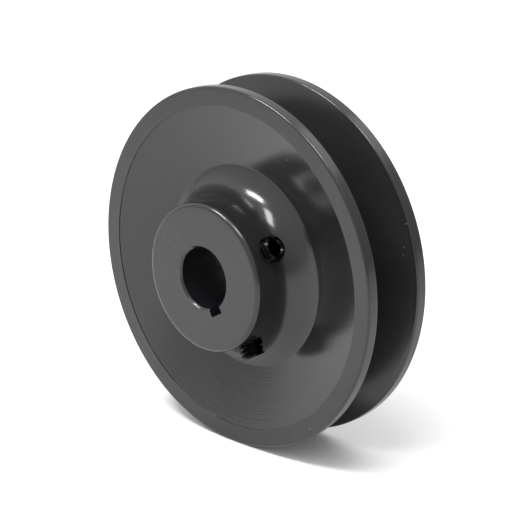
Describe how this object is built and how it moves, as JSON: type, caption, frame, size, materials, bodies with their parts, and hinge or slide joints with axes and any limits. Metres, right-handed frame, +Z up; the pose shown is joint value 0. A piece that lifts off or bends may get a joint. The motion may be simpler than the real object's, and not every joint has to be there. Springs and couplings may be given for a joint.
{
  "type": "v belt pulley",
  "caption": "Single-groove cast pulley with a dished web, an offset keyed hub and proud hex-socket set screws over the keyway and a quarter turn from it.",
  "frame": {"origin": "on the pulley's axis, halfway along its overall length from the hub's nose to the back of the rim", "axes": "Y along the pulley's axis with the hub's nose towards -Y, +Z up, and the pulley standing on its rim"},
  "size_m": [0.113, 0.0376, 0.113],
  "materials": {
    "gloss_grey_paint": "gloss dark grey paint over turned cast iron",
    "black_oxide_steel": "black oxide with a thin film of oil"
  },
  "bodies": {
    "sheave": {"sheave_casting": "gloss_grey_paint"},
    "side_screw": {"side_set_screw": "black_oxide_steel"},
    "keyway_screw": {"keyway_set_screw": "black_oxide_steel"}
  },
  "joints": [
    {"name": "side_screw_travel", "type": "slide", "parent": "sheave", "child": "side_screw", "axis": [0.866, 0, 0.5], "range_m": [-0.00423, 0.00706]},
    {"name": "keyway_screw_travel", "type": "slide", "parent": "sheave", "child": "keyway_screw", "axis": [0.5, 0, -0.866], "range_m": [-0.00282, 0.00706]}
  ]
}
